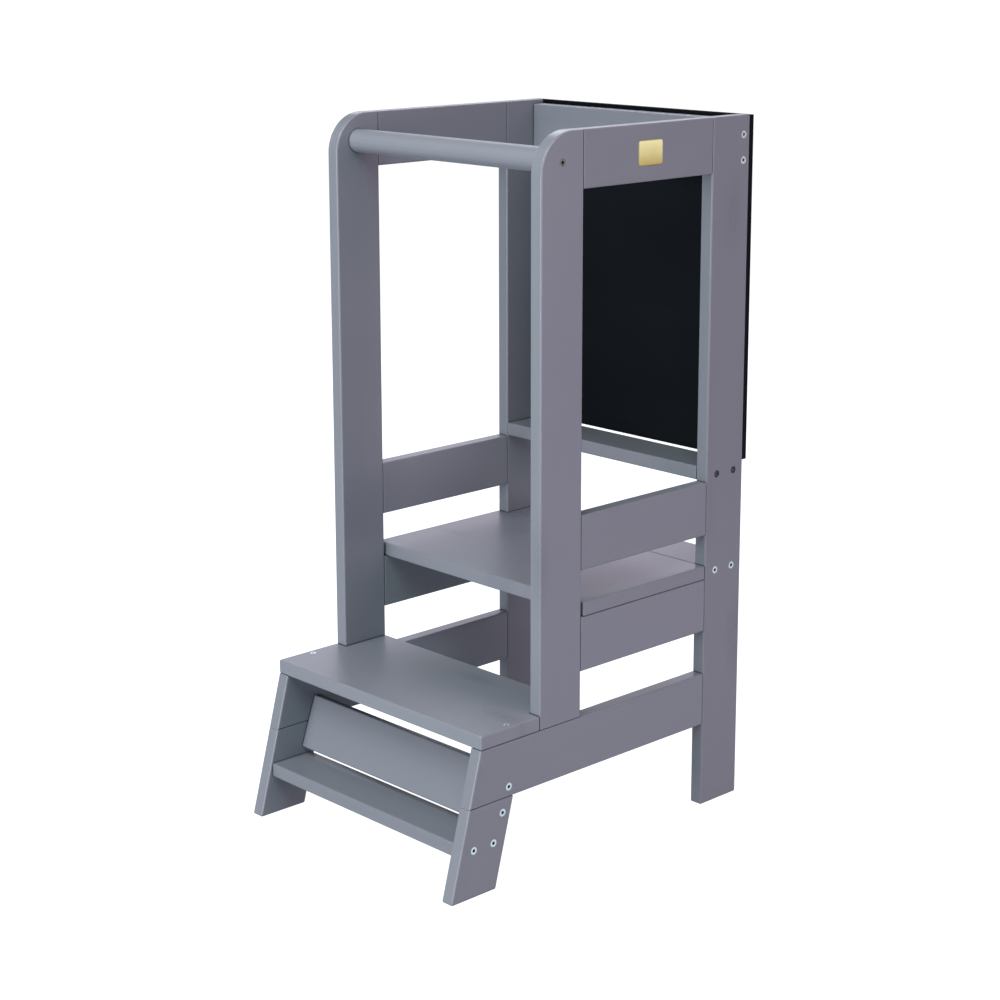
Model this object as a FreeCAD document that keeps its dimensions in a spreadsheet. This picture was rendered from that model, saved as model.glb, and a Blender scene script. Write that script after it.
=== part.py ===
import FreeCAD, Part
import os

import Sketcher

# Toddler kitchen helper stool: a wooden tower with two steps, a railed platform to stand on, a round
# grab bar and a chalkboard back.  Millimetres, +Z up.  The origin is on the floor in the middle of
# the footprint.  The child climbs in from the front, which is -Y; seen from there left is -X and
# right is +X.

SIZES = (
    ("overall_height", 900, "floor to the top of the posts"),
    ("overall_width", 385, "outer face to outer face of the side frames"),
    ("side_depth", 366.5, "front of the front posts to the rear of the back posts"),
    ("leg_reach", 146, "how far the front legs' toes stand before the front posts"),
    ("leg_angle", 15, "degrees that the front legs lean back"),
    ("board_width", 69.5, "width of the planed stock that the frame is cut from"),
    ("board_thick", 18, "thickness of the same stock"),
    ("edge_round", 2, "rounding along every board"),
    ("joint_round", 1.5, "rounding of the ends that meet another board of a side frame"),
    ("end_round", 0.8, "easing of the cross boards' ends"),
    ("foot_round", 2, "easing of the ends that stand on the floor"),
    ("corner_round", 50, "the big rounded corner on top of each front post"),
    ("bottom_rail_low", 112, "underside of the bottom rails"),
    ("platform_rail_low", 239.5, "underside of the platform rails"),
    ("guard_rail_low", 368, "underside of the guard rails"),
    ("back_rail_low", 825, "underside of the back top rail"),
    ("back_rail_inset", 2, "rear of the back top rail to the rear of the back posts"),
    ("tray_low", 438.3, "underside of the chalk tray"),
    ("tray_depth", 62, "front to back of the chalk tray"),
    ("step_low", 50.9, "underside of the lower step"),
    ("step_depth", 64.6, "front to back of the lower step"),
    ("step_setback", 1.8, "its top front edge behind the front of the legs"),
    ("kick_angle", 19, "degrees that the kick board leans back"),
    ("kick_level", 109.5, "height of the middle of the kick board"),
    ("kick_inset", 3, "rear of the kick board inside the rear edge of the legs"),
    ("platform_gap", 4, "slot between the front posts and the platform"),
    ("fit_gap", 0.3, "play where a board only meets its neighbour"),
    ("handle_width", 30, "diameter of the grab bar"),
    ("handle_inset", 35, "its axis behind and below the posts' front top corner"),
    ("handle_bolt_drop", 1.2, "its bolts below its axis"),
    ("chalkboard_low", 456.3, "bottom edge of the chalkboard"),
    ("chalkboard_height", 443.3, "bottom edge to top edge"),
    ("chalkboard_thick", 7, "thickness of the board"),
    ("chalkboard_ease", 0.5, "easing of its edges"),
    ("plate_width", 42, "bare plate on the right top rail"),
    ("plate_height", 30, "the same plate, upright"),
    ("plate_thick", 0.8, "how far it stands proud"),
    ("plate_round", 4, "its corners"),
    ("pair_pitch", 32, "spacing of paired bolts and of paired dowels"),
    ("post_bolt_shift", 1, "paired bolts in the back posts behind the post's middle"),
    ("tray_bolt_up", 7.3, "the tray's bolts above its underside"),
    ("bolt_length", 50, "connector bolt, head to tip"),
    ("bolt_head", 9.6, "diameter of its countersunk head"),
    ("bolt_neck", 7, "diameter of its plain neck"),
    ("bolt_thread", 6.4, "diameter over its thread"),
    ("bolt_neck_end", 17, "where the neck ends, from the head"),
    ("bolt_point", 3, "length of its tapered tip"),
    ("bolt_sink", 0.4, "head below the face of the wood"),
    ("bolt_key", 4, "hexagon socket across its flats"),
    ("bolt_key_depth", 4.5, "depth of the socket"),
    ("bore_play", 0.1, "hole diameter over what sits in it"),
    ("screw_length", 45, "tread screw, head to tip"),
    ("screw_head", 8, "diameter of its countersunk head"),
    ("screw_shank", 4, "diameter of its shank"),
    ("screw_neck_end", 8, "where the plain neck of any screw ends, from the head"),
    ("screw_core_drop", 0.2, "core of any screw's threaded part under its shank, on the diameter"),
    ("screw_point", 4, "length of any screw's tip"),
    ("screw_slot", 1.1, "width of each arm of its cross recess"),
    ("screw_back", 48, "tread screws before the front posts"),
    ("pin_length", 20, "chalkboard screw, head to tip"),
    ("pin_head", 7, "diameter of its countersunk head"),
    ("pin_shank", 3.5, "diameter of its shank"),
    ("pin_margin", 40, "first and last chalkboard screw from the board's ends"),
    ("dowel_length", 30, "wooden dowel"),
    ("dowel_width", 8, "its diameter"),
    ("dowel_ease", 0.8, "chamfer on its ends"),
    ("dowel_sink", 10, "how deep the platform dowels go into the platform"),
    ("dowel_margin", 34, "first and last platform dowel from the rail's ends"),
    ("leg_dowel_shift", 8, "leg dowels before the leg's middle, clear of the kick board's bolts"),
    ("cross_arm", 4.4, "length of each arm of a cross recess"),
    ("cross_depth", 2, "depth of a cross recess"),
)

PINS_PER_POST = 4       # chalkboard screws along each back post
DOWELS_PER_RAIL = 3     # dowels between a platform rail and the platform

# Expressions on the sheet that several pieces share
WIDE = "sizes.board_width"
THICK = "sizes.board_thick"
HALF_THICK = "sizes.board_thick / 2"
HALF_PITCH = "sizes.pair_pitch / 2"
HALF_WIDTH = "sizes.overall_width / 2"
INNER = "(sizes.overall_width / 2 - sizes.board_thick)"
TAN = "tan(sizes.leg_angle)"
COS = "cos(sizes.leg_angle)"
TOE_EASE = f"sizes.foot_round * ((1 + sin(sizes.leg_angle)) / {COS} - 1)"
FRONT = f"((sizes.leg_reach - {TOE_EASE} - sizes.side_depth - sizes.chalkboard_thick) / 2)"
REAR = f"({FRONT} + sizes.side_depth)"
BACK_POST = f"({REAR} - {WIDE})"
RAIL_FRONT = f"({FRONT} + {WIDE})"
RAIL_LENGTH = f"(sizes.side_depth - 2 * {WIDE})"
POST_LOW = f"(sizes.bottom_rail_low + {WIDE})"
TOP_RAIL_LOW = f"(sizes.overall_height - {WIDE})"
PLATFORM_LOW = f"(sizes.platform_rail_low + {WIDE})"
BORE = "sizes.dowel_width + sizes.bore_play"
THREAD_BORE = "sizes.bolt_thread + sizes.bore_play"
THREAD_DEPTH = f"sizes.bolt_length + sizes.bolt_sink - {THICK} + 1"
DOWEL_DEPTH = "sizes.dowel_length / 2 + 0.5"
CROSS_LENGTH = f"2 * {INNER}"
POST_BOLTS = f"({WIDE} / 2 + sizes.post_bolt_shift)"
HANDLE_BOLT = "(sizes.handle_inset + sizes.handle_bolt_drop)"

SIDES = (("left", -1), ("right", 1))

doc = FreeCAD.newDocument("helper_stool")
sheet = doc.addObject("Spreadsheet::Sheet", "sizes")
parts = []


def fill_sheet():
    """Put every driving dimension in a cell of its own, under its alias."""
    for row, (alias, number, note) in enumerate(SIZES, 1):
        sheet.set(f"A{row}", note)
        sheet.set(f"B{row}", str(number))
        sheet.setAlias(f"B{row}", alias)
    doc.recompute()


def value(expression):
    """The number that an expression gives with the sheet's present cells."""
    return float(sheet.evalExpression(expression))


# ------------------------------------------------------------------ making a piece


def new_body(name, x="0", y="0", z="0"):
    """An empty body whose own origin stands at x, y, z."""
    body = doc.addObject("PartDesign::Body", name)
    body.Label = name
    for axis, expression in zip("xyz", (x, y, z)):
        body.setExpression(f"Placement.Base.{axis}", expression)
    return body


def new_sketch(body, role, offset="0"):
    """A sketch on one of the body's origin planes, moved along that plane's normal."""
    plane = next(item for item in body.Origin.OriginFeatures if item.Role == role)
    sketch = body.newObject("Sketcher::SketchObject", f"{body.Name}_sketch")
    sketch.AttachmentSupport = [(plane, "")]
    sketch.MapMode = "FlatFace"
    if offset != "0":
        sketch.setExpression("AttachmentOffset.Base.z", offset)
    return sketch


def pin_point(sketch, geometry, point, x, y):
    """Bind one point of a sketch to a place given by two expressions."""
    for kind, axis, expression in (("DistanceX", -2, x), ("DistanceY", -1, y)):
        if abs(value(expression)) < 1e-9:
            sketch.addConstraint(Sketcher.Constraint("PointOnObject", geometry, point, axis))
            continue
        constraint = Sketcher.Constraint(kind, -1, 1, geometry, point, value(expression))
        index = sketch.addConstraint(constraint)
        sketch.setExpression(f"Constraints[{index}]", expression)


def draw_polygon(sketch, corners):
    """A closed polygon; each corner is a pair of expressions."""
    places = [FreeCAD.Vector(value(x), value(y), 0) for x, y in corners]
    for here, there in zip(places, places[1:] + places[:1]):
        sketch.addGeometry(Part.LineSegment(here, there), False)
    for index in range(len(corners)):
        following = (index + 1) % len(corners)
        sketch.addConstraint(Sketcher.Constraint("Coincident", index, 2, following, 1))
    for index, (x, y) in enumerate(corners):
        pin_point(sketch, index, 1, x, y)


def draw_circles(sketch, centres, diameter):
    """Circles of one diameter at the given places."""
    for index, (x, y) in enumerate(centres):
        middle = FreeCAD.Vector(value(x), value(y), 0)
        sketch.addGeometry(Part.Circle(middle, FreeCAD.Vector(0, 0, 1), value(diameter) / 2), False)
        pin_point(sketch, index, 3, x, y)
        size = sketch.addConstraint(Sketcher.Constraint("Diameter", index, value(diameter)))
        sketch.setExpression(f"Constraints[{size}]", diameter)


def rectangle(x_low, y_low, x_high, y_high):
    """The corners of a rectangle, as pairs of expressions."""
    return ((x_low, y_low), (x_high, y_low), (x_high, y_high), (x_low, y_high))


def extrude(body, sketch, length, both_ways=False):
    """Pad a sketch along its plane's normal, or equally to both sides of it."""
    pad = body.newObject("PartDesign::Pad", f"{body.Name}_pad")
    pad.Profile = sketch
    pad.setExpression("Length", length)
    if both_ways:
        pad.SideType = "Symmetric"
    doc.recompute()
    return pad


def must_shrink(body, before, what):
    """Stop if a cut took nothing away."""
    if body.Shape.Volume > before - 1:
        raise RuntimeError(f"{what} cut nothing out of {body.Label}")


def drill(body, role, offset, centres, diameter, depth, forward):
    """Blind round holes; forward drills along the plane's normal, otherwise against it."""
    before = body.Shape.Volume
    sketch = new_sketch(body, role, offset)
    draw_circles(sketch, centres, diameter)
    pocket = body.newObject("PartDesign::Pocket", f"{body.Name}_bore")
    pocket.Profile = sketch
    pocket.setExpression("Length", depth)
    pocket.Reversed = forward
    doc.recompute()
    must_shrink(body, before, "a bore")


def countersink(body, role, offset, centres, neck, mouth, forward):
    """Through holes with a 90 degree countersink on the plane that the sketch lies on."""
    before = body.Shape.Volume
    sketch = new_sketch(body, role, offset)
    draw_circles(sketch, centres, neck)
    hole = body.newObject("PartDesign::Hole", f"{body.Name}_hole")
    hole.Profile = sketch
    doc.recompute()
    hole.Threaded = False
    hole.DepthType = "ThroughAll"
    hole.Reversed = forward
    hole.setExpression("Diameter", neck)
    hole.HoleCutType = "Countersink"
    hole.HoleCutCustomValues = True
    hole.HoleCutCountersinkAngle = 90
    hole.setExpression("HoleCutDiameter", mouth)
    doc.recompute()
    must_shrink(body, before, "a countersunk hole")


def span(edge, axis):
    """The lowest and highest coordinate of an edge along x, y or z."""
    box = edge.BoundBox
    return getattr(box, f"{axis.upper()}Min"), getattr(box, f"{axis.upper()}Max")


def runs(edge, axis):
    """Whether an edge is straight and parallel to an axis."""
    low, high = span(edge, axis)
    return abs(high - low - edge.Length) < 1e-4


def lies_at(edge, axis, level):
    """Whether a whole edge has one coordinate along an axis."""
    low, high = span(edge, axis)
    return abs(low - level) < 1e-4 and abs(high - level) < 1e-4


def round_edges(body, radius, wanted):
    """Round every edge of the body so far for which wanted(edge) is true."""
    base = body.Tip
    names = [f"Edge{number}" for number, edge in enumerate(base.Shape.Edges, 1) if wanted(edge)]
    fillet = body.newObject("PartDesign::Fillet", f"{body.Name}_round")
    fillet.Base = (base, names)
    fillet.setExpression("Radius", radius)
    doc.recompute()


def keep(item):
    """Count a finished piece in."""
    parts.append(item)
    return item


def pair(middle):
    """Two places half a pitch either side of one expression."""
    return f"{middle} - {HALF_PITCH}", f"{middle} + {HALF_PITCH}"


# ------------------------------------------------------------------ side frames


def side_x(side):
    """Where a side frame's boards start along x."""
    return f"-{HALF_WIDTH}" if side < 0 else INNER


def outer_face(side):
    """The outer face of a side frame's board, in the board's own x."""
    return "0" if side < 0 else THICK


def round_board(body, axis, length):
    """Round a straight board along its length, then both of its sawn ends."""
    round_edges(body, "sizes.edge_round", lambda edge: runs(edge, axis))
    ends = (0, value(length))
    round_edges(body, "sizes.joint_round", lambda edge: any(lies_at(edge, axis, end) for end in ends))


def bolt_holes(body, side, places):
    """Countersunk holes for connector bolts, through a side frame's board from outside."""
    neck = "sizes.bolt_neck + sizes.bore_play"
    mouth = "sizes.bolt_head + 2 * sizes.bolt_sink"
    countersink(body, "YZ_Plane", outer_face(side), places, neck, mouth, side < 0)


def front_post(name, side):
    """Upright from the bottom rail to the top, with the big rounded corner."""
    body = new_body(f"{name}_front_post", side_x(side), FRONT, POST_LOW)
    height = f"(sizes.overall_height - {POST_LOW})"
    extrude(body, new_sketch_rectangle(body, "YZ_Plane", WIDE, height), THICK)
    top = value(height)
    round_edges(body, "sizes.corner_round",
                lambda edge: lies_at(edge, "y", 0) and lies_at(edge, "z", top))
    faces = (0, value(THICK))
    round_edges(body, "sizes.edge_round",
                lambda edge: any(lies_at(edge, "x", face) for face in faces)
                and not lies_at(edge, "z", 0))
    round_edges(body, "sizes.joint_round", lambda edge: lies_at(edge, "z", 0))
    levels = [f"{low} + {WIDE} / 2 - {POST_LOW}"
              for low in (TOP_RAIL_LOW, "sizes.guard_rail_low", "sizes.platform_rail_low")]
    centres = [(HALF_THICK, level) for middle in levels for level in pair(middle)]
    drill_across(body, WIDE, centres, False)
    feet = [(HALF_THICK, place) for place in pair(f"{WIDE} / 2")]
    drill(body, "XY_Plane", "0", feet, BORE, DOWEL_DEPTH, True)
    bolt_holes(body, side, [("sizes.handle_inset", f"{height} - {HANDLE_BOLT}")])
    return keep(body)


def new_sketch_rectangle(body, role, width, height):
    """A rectangle on an origin plane with one corner on the body's origin."""
    sketch = new_sketch(body, role)
    draw_polygon(sketch, rectangle("0", "0", width, height))
    return sketch


def drill_across(body, depth_place, centres, forward):
    """Dowel bores into a face that looks along y; centres are (x, z) pairs."""
    # The plane's own normal points to -y, so a place along y is a negative offset and drilling
    # towards +y goes against the normal.
    offset = "0" if depth_place == "0" else f"-({depth_place})"
    drill(body, "XZ_Plane", offset, centres, BORE, DOWEL_DEPTH, not forward)


def back_post(name, side):
    """Upright from the floor to the top at the back."""
    body = new_body(f"{name}_back_post", side_x(side), BACK_POST, "0")
    extrude(body, new_sketch_rectangle(body, "YZ_Plane", WIDE, "sizes.overall_height"), THICK)
    top = value("sizes.overall_height")
    round_edges(body, "sizes.edge_round", lambda edge: runs(edge, "z") or lies_at(edge, "z", top))
    round_edges(body, "sizes.foot_round", lambda edge: lies_at(edge, "z", 0))
    lows = (TOP_RAIL_LOW, "sizes.guard_rail_low", "sizes.platform_rail_low", "sizes.bottom_rail_low")
    centres = [(HALF_THICK, level) for low in lows for level in pair(f"{low} + {WIDE} / 2")]
    drill_across(body, "0", centres, True)
    rail_middle = f"{WIDE} - sizes.back_rail_inset - {HALF_THICK}"
    places = [(rail_middle, level) for level in pair(f"sizes.back_rail_low + {WIDE} / 2")]
    places += [(place, "sizes.tray_low + sizes.tray_bolt_up") for place in pair(POST_BOLTS)]
    places += [(place, f"{PLATFORM_LOW} + {HALF_THICK}") for place in pair(POST_BOLTS)]
    bolt_holes(body, side, places)
    pins = [(HALF_THICK, level) for level in pin_levels("0")]
    depth = "sizes.pin_length - sizes.chalkboard_thick + 1"
    drill(body, "XZ_Plane", f"-{WIDE}", pins, "sizes.pin_shank + sizes.bore_play", depth, True)
    return keep(body)


def pin_levels(base):
    """Heights of the chalkboard screws over a base height."""
    run = f"(sizes.chalkboard_height - 2 * sizes.pin_margin) / {PINS_PER_POST - 1}"
    first = f"sizes.chalkboard_low + sizes.pin_margin - {base}"
    return [f"{first} + {index} * {run}" for index in range(PINS_PER_POST)]


def middle_rail(label, side, low, top_dowels=False):
    """Level rail between the front and the back post of one side."""
    body = new_body(label, side_x(side), RAIL_FRONT, low)
    extrude(body, new_sketch_rectangle(body, "YZ_Plane", RAIL_LENGTH, WIDE), THICK)
    round_board(body, "y", RAIL_LENGTH)
    centres = [(HALF_THICK, level) for level in pair(f"{WIDE} / 2")]
    drill_across(body, "0", centres, True)
    drill_across(body, RAIL_LENGTH, centres, False)
    if top_dowels:
        places = [(HALF_THICK, place) for place in platform_dowel_places("0")]
        depth = "sizes.dowel_length - sizes.dowel_sink + 0.5"
        drill(body, "XY_Plane", WIDE, places, BORE, depth, False)
    return keep(body)


def platform_dowel_places(start):
    """Places along y of the platform dowels, from the front end of the rail."""
    run = f"({RAIL_LENGTH} - 2 * sizes.dowel_margin) / {DOWELS_PER_RAIL - 1}"
    first = f"{start} + sizes.dowel_margin"
    return [f"{first} + {index} * {run}" for index in range(DOWELS_PER_RAIL)]


def leg_front(level):
    """Where the sloping front edge of a leg and rail stands at a height."""
    return f"({FRONT} - sizes.leg_reach + ({level}) * {TAN})"


KICK_Y = (f"({leg_front('sizes.kick_level')} + ({WIDE} - sizes.kick_inset - {HALF_THICK}) / {COS})")


def kick_bolt(sign):
    """Place (y, z) of one of the two bolts that hold the kick board's end."""
    return (f"{KICK_Y} + {sign} * {HALF_PITCH} * sin(sizes.kick_angle)",
            f"sizes.kick_level + {sign} * {HALF_PITCH} * cos(sizes.kick_angle)")


def bottom_rail(name, side):
    """Long rail that the front post stands on; its front end slopes like the leg."""
    low = "sizes.bottom_rail_low"
    body = new_body(f"{name}_bottom_rail", side_x(side), "0", low)
    sketch = new_sketch(body, "YZ_Plane")
    draw_polygon(sketch, ((leg_front(low), "0"), (BACK_POST, "0"), (BACK_POST, WIDE),
                          (leg_front(POST_LOW), WIDE)))
    extrude(body, sketch, THICK)
    rear = value(BACK_POST)
    faces = (0, value(THICK))
    round_edges(body, "sizes.edge_round",
                lambda edge: any(lies_at(edge, "x", face) for face in faces)
                and not lies_at(edge, "y", rear))
    round_edges(body, "sizes.joint_round", lambda edge: lies_at(edge, "y", rear))
    drill_across(body, BACK_POST, [(HALF_THICK, level) for level in pair(f"{WIDE} / 2")], False)
    feet = [(HALF_THICK, place) for place in pair(f"{FRONT} + {WIDE} / 2")]
    drill(body, "XY_Plane", WIDE, feet, BORE, DOWEL_DEPTH, False)
    drill(body, "XY_Plane", "0", leg_dowel_places("0"), BORE, DOWEL_DEPTH, True)
    screw = [(HALF_THICK, f"{FRONT} - sizes.screw_back")]
    depth = f"sizes.screw_length - {THICK} + 1"
    drill(body, "XY_Plane", WIDE, screw, "sizes.screw_shank + sizes.bore_play", depth, False)
    y, z = kick_bolt(1)
    bolt_holes(body, side, [(y, f"{z} - {low}")])
    return keep(body)


def leg_dowel_places(start):
    """Places (x, y) of the dowels between a leg and its rail, from a start along y."""
    middle = f"{leg_front('sizes.bottom_rail_low')} + {WIDE} / {COS} / 2 - {start}"
    return [(HALF_THICK, place) for place in pair(f"({middle} - sizes.leg_dowel_shift)")]


def front_leg(name, side):
    """Short leg that leans back to meet the front end of the bottom rail."""
    top = "sizes.bottom_rail_low"
    start = leg_front("0")
    body = new_body(f"{name}_front_leg", side_x(side), start, "0")
    foot = f"{WIDE} / {COS}"
    lean = f"{top} * {TAN}"
    sketch = new_sketch(body, "YZ_Plane")
    draw_polygon(sketch, (("0", "0"), (foot, "0"), (f"{foot} + {lean}", top), (lean, top)))
    extrude(body, sketch, THICK)
    height = value(top)
    round_edges(body, "sizes.edge_round",
                lambda edge: abs(edge.BoundBox.ZLength - height) < 1e-4)
    round_edges(body, "sizes.foot_round", lambda edge: lies_at(edge, "z", 0))
    round_edges(body, "sizes.joint_round", lambda edge: lies_at(edge, "z", height))
    drill(body, "XY_Plane", top, leg_dowel_places(start), BORE, DOWEL_DEPTH, False)
    y, z = kick_bolt(-1)
    places = [(f"{y} - {start}", z)]
    places += [(f"{place} - {start}", f"sizes.step_low + {HALF_THICK}") for place in STEP_BOLTS]
    bolt_holes(body, side, places)
    return keep(body)


STEP_TOP = f"(sizes.step_low + {THICK})"
STEP_FRONT = f"({leg_front(STEP_TOP)} + sizes.step_setback)"
STEP_BOLTS = pair(f"({STEP_FRONT} + sizes.step_depth / 2)")


# ------------------------------------------------------------------ boards that cross over


def cross_board(label, y, z, depth, height=THICK):
    """Board between the side frames, padded from its end view, with its ends eased."""
    body = new_body(label, "0", y, z)
    sketch = new_sketch(body, "YZ_Plane")
    draw_polygon(sketch, rectangle("0", "0", depth, height))
    extrude(body, sketch, CROSS_LENGTH, both_ways=True)
    end = value(INNER)
    round_edges(body, "sizes.edge_round", lambda edge: runs(edge, "x"))
    round_edges(body, "sizes.end_round",
                lambda edge: lies_at(edge, "x", end) or lies_at(edge, "x", -end))
    return body


def thread_bores(body, places):
    """Bores for the bolts' threads in both ends of a cross board; places are (y, z) pairs."""
    drill(body, "YZ_Plane", INNER, places, THREAD_BORE, THREAD_DEPTH, False)
    drill(body, "YZ_Plane", f"-{INNER}", places, THREAD_BORE, THREAD_DEPTH, True)


def handle_bar():
    """Round grab bar between the front posts."""
    y = f"{FRONT} + sizes.handle_inset"
    body = new_body("handle_bar", "0", y, "sizes.overall_height - sizes.handle_inset")
    sketch = new_sketch(body, "YZ_Plane")
    draw_circles(sketch, [("0", "0")], "sizes.handle_width")
    extrude(body, sketch, CROSS_LENGTH, both_ways=True)
    thread_bores(body, [("0", "-sizes.handle_bolt_drop")])
    return keep(body)


def upper_tread():
    """Wide step on the bottom rails, with a tongue that runs back between the front posts."""
    body = new_body("upper_tread", "0", FRONT, POST_LOW)
    front = f"{leg_front(POST_LOW)} - {FRONT}"
    wing = "-sizes.fit_gap"
    tongue = f"({INNER} - sizes.fit_gap)"
    sketch = new_sketch(body, "XY_Plane")
    draw_polygon(sketch, ((f"-{HALF_WIDTH}", front), (HALF_WIDTH, front), (HALF_WIDTH, wing),
                          (tongue, wing), (tongue, WIDE), (f"-{tongue}", WIDE),
                          (f"-{tongue}", wing), (f"-{HALF_WIDTH}", wing)))
    extrude(body, sketch, THICK)
    inner_corner = value(tongue)
    wing_end = value(wing)

    def outer_edge(edge):
        notch = (abs(abs(span(edge, "x")[0]) - inner_corner) < 1e-4 and runs(edge, "z")
                 and lies_at(edge, "y", wing_end))
        return not notch

    round_edges(body, "sizes.edge_round", outer_edge)
    places = [(x, "-sizes.screw_back") for x in (f"-({HALF_WIDTH} - {HALF_THICK})",
                                                 f"{HALF_WIDTH} - {HALF_THICK}")]
    countersink(body, "XY_Plane", THICK, places, "sizes.screw_shank + sizes.bore_play",
                "sizes.screw_head + 2 * sizes.bolt_sink", False)
    return keep(body)


def kick_board():
    """Board between the legs' rear halves that closes most of the gap under the tread."""
    body = new_body("kick_board", "0", KICK_Y, "sizes.kick_level")
    body.Placement.Rotation = FreeCAD.Rotation(FreeCAD.Vector(-1, 0, 0), 1)
    body.setExpression("Placement.Rotation.Angle", "sizes.kick_angle * 1 deg")
    sketch = new_sketch(body, "YZ_Plane")
    half = f"{WIDE} / 2"
    draw_polygon(sketch, rectangle(f"-{HALF_THICK}", f"-{half}", HALF_THICK, half))
    extrude(body, sketch, CROSS_LENGTH, both_ways=True)
    end = value(INNER)
    round_edges(body, "sizes.edge_round", lambda edge: runs(edge, "x"))
    round_edges(body, "sizes.end_round",
                lambda edge: lies_at(edge, "x", end) or lies_at(edge, "x", -end))
    thread_bores(body, [("0", f"-{HALF_PITCH}"), ("0", HALF_PITCH)])
    return keep(body)


def lower_step():
    """Low step between the legs."""
    body = cross_board("lower_step", STEP_FRONT, "sizes.step_low", "sizes.step_depth")
    thread_bores(body, [(f"{place} - {STEP_FRONT}", HALF_THICK) for place in STEP_BOLTS])
    return keep(body)


def platform_board():
    """Full-width board to stand on, laid on the platform rails between the posts."""
    start = f"({RAIL_FRONT} + sizes.platform_gap)"
    depth = f"{BACK_POST} - sizes.fit_gap - {start}"
    body = new_body("platform_board", "0", start, PLATFORM_LOW)
    sketch = new_sketch(body, "XY_Plane")
    draw_polygon(sketch, rectangle(f"-{HALF_WIDTH}", "0", HALF_WIDTH, depth))
    extrude(body, sketch, THICK)
    round_edges(body, "sizes.edge_round", lambda edge: True)
    for x in (f"-({HALF_WIDTH} - {HALF_THICK})", f"{HALF_WIDTH} - {HALF_THICK}"):
        places = [(x, place) for place in platform_dowel_places(f"{RAIL_FRONT} - {start}")]
        drill(body, "XY_Plane", "0", places, BORE, "sizes.dowel_sink + 0.5", True)
    return keep(body)


def rear_cross_board():
    """Level board between the back posts that carries the platform on to the back."""
    body = cross_board("rear_cross_board", BACK_POST, PLATFORM_LOW, WIDE)
    thread_bores(body, [(place, HALF_THICK) for place in pair(POST_BOLTS)])
    return keep(body)


def chalk_tray():
    """Narrow shelf between the back posts, under the chalkboard."""
    body = cross_board("chalk_tray", BACK_POST, "sizes.tray_low", "sizes.tray_depth")
    thread_bores(body, [(place, "sizes.tray_bolt_up") for place in pair(POST_BOLTS)])
    return keep(body)


def back_top_rail():
    """Upright board between the tops of the back posts."""
    y = f"{REAR} - sizes.back_rail_inset - {THICK}"
    body = cross_board("back_top_rail", y, "sizes.back_rail_low", THICK, WIDE)
    thread_bores(body, [(HALF_THICK, level) for level in pair(f"{WIDE} / 2")])
    return keep(body)


def chalkboard():
    """Thin black board on the rear faces of the back posts."""
    body = new_body("chalkboard", "0", REAR, "sizes.chalkboard_low")
    sketch = new_sketch(body, "XZ_Plane", "-sizes.chalkboard_thick")
    draw_polygon(sketch, rectangle(f"-{HALF_WIDTH}", "0", HALF_WIDTH, "sizes.chalkboard_height"))
    extrude(body, sketch, "sizes.chalkboard_thick")
    round_edges(body, "sizes.chalkboard_ease", lambda edge: True)
    for x in (f"-({HALF_WIDTH} - {HALF_THICK})", f"{HALF_WIDTH} - {HALF_THICK}"):
        places = [(x, level) for level in pin_levels("sizes.chalkboard_low")]
        countersink(body, "XZ_Plane", "-sizes.chalkboard_thick", places,
                    "sizes.pin_shank + sizes.bore_play", "sizes.pin_head", True)
    return keep(body)


def blank_plate():
    """Small bare metal plate in the middle of the right top rail's outer face."""
    y = f"{RAIL_FRONT} + {RAIL_LENGTH} / 2 - sizes.plate_width / 2"
    z = f"{TOP_RAIL_LOW} + {WIDE} / 2 - sizes.plate_height / 2"
    body = new_body("blank_plate", HALF_WIDTH, y, z)
    sketch = new_sketch_rectangle(body, "YZ_Plane", "sizes.plate_width", "sizes.plate_height")
    extrude(body, sketch, "sizes.plate_thick")
    round_edges(body, "sizes.plate_round", lambda edge: runs(edge, "x"))
    return keep(body)


# ------------------------------------------------------------------ fasteners


def turned_pin(name, length, head, neck, thread, neck_end, point):
    """A countersunk fastener turned about x; its head's face is at x = 0, its tip at +x."""
    body = new_body(name)
    sketch = new_sketch(body, "XY_Plane")
    cone = f"({head} - {neck}) / 2"
    draw_polygon(sketch, (("0", "0"), (length, "0"), (f"{length} - {point}", f"{thread} / 2"),
                          (neck_end, f"{thread} / 2"), (neck_end, f"{neck} / 2"),
                          (cone, f"{neck} / 2"), ("0", f"{head} / 2")))
    turn = body.newObject("PartDesign::Revolution", f"{name}_turn")
    turn.Profile = sketch
    turn.ReferenceAxis = (sketch, ["H_Axis"])
    turn.Angle = 360
    doc.recompute()
    return body


def connector_bolt():
    """Connector bolt with a hexagon socket."""
    body = turned_pin("connector_bolt", "sizes.bolt_length", "sizes.bolt_head", "sizes.bolt_neck",
                      "sizes.bolt_thread", "sizes.bolt_neck_end", "sizes.bolt_point")
    before = body.Shape.Volume
    sketch = new_sketch(body, "YZ_Plane")
    corner = "sizes.bolt_key / sqrt(3)"
    draw_polygon(sketch, [(f"{corner} * cos({60 * turn})", f"{corner} * sin({60 * turn})")
                          for turn in range(6)])
    cut_socket(body, sketch, "sizes.bolt_key_depth", before)
    return body


def cut_socket(body, sketch, depth, before):
    """Sink a driver socket into a fastener's head."""
    pocket = body.newObject("PartDesign::Pocket", f"{body.Name}_socket")
    pocket.Profile = sketch
    pocket.setExpression("Length", depth)
    pocket.Reversed = True
    doc.recompute()
    must_shrink(body, before, "a socket")


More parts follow.
